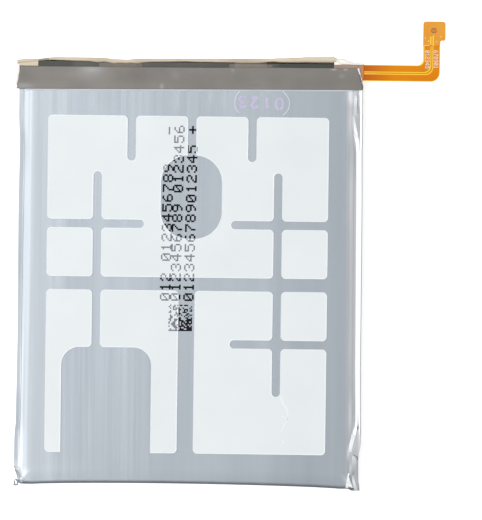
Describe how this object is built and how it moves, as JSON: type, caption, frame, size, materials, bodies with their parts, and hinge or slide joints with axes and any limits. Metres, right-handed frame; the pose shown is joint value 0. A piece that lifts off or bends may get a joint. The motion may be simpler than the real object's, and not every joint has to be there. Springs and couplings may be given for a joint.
{
  "type": "mobile phone battery",
  "caption": "Flat lithium-ion pouch battery with a taped protection board at one end, an L-shaped flexible tail with a connector, and die-cut adhesive sheets on its face.",
  "frame": {"origin": "centre of the cell's flat back face", "axes": "+Z out of the adhesive side, +Y towards the sealed end with the protection board, +X towards the side that the flexible tail leaves from"},
  "size_m": [0.0787, 0.0864, 0.0053],
  "materials": {
    "foil": "satin aluminium laminate",
    "adhesive": "white translucent die-cut adhesive film",
    "grey_tape": "satin grey insulating tape",
    "tan_tape": "thin tan tape",
    "polyimide": "amber polyimide film",
    "copper": "copper under amber film",
    "tab_aluminium": "bare aluminium strip",
    "nickel": "nickel",
    "seal_film": "translucent sealing film",
    "board": "dark solder mask",
    "chip": "moulded package",
    "ceramic_part": "ceramic chip part",
    "foam": "black foam",
    "housing": "moulded black plastic",
    "gold": "gold-plated contact",
    "print_ink": "dark printing ink",
    "stamp_ink": "pale violet stamping ink"
  },
  "bodies": {
    "root": {"cell_pouch": "foil", "negative_tab": "nickel", "positive_tab": "tab_aluminium", "negative_tab_seal": "seal_film", "positive_tab_seal": "seal_film", "protection_board": "board", "negative_weld_plate": "nickel", "positive_weld_plate": "nickel", "charge_switch": "chip", "discharge_switch": "chip", "protection_chip": "chip", "identity_chip": "chip", "sense_resistor": "ceramic_part", "thermistor": "ceramic_part", "chip_resistors": "ceramic_part", "chip_capacitors": "ceramic_part", "board_foam": "foam", "flex_tail": "polyimide", "connector_stiffener": "polyimide", "connector_housing": "housing", "signal_contacts": "gold", "power_contacts": "gold", "face_tape": "grey_tape", "back_wrap_tape": "tan_tape", "negative_track": "copper", "signal_track": "copper", "positive_track": "copper", "adhesive_upper": "adhesive", "adhesive_upper_left_square": "adhesive", "adhesive_upper_right_square": "adhesive", "adhesive_lower_left": "adhesive", "adhesive_lower_middle": "adhesive", "adhesive_lower_right": "adhesive", "adhesive_lower_right_square": "adhesive"}
  },
  "joints": []
}
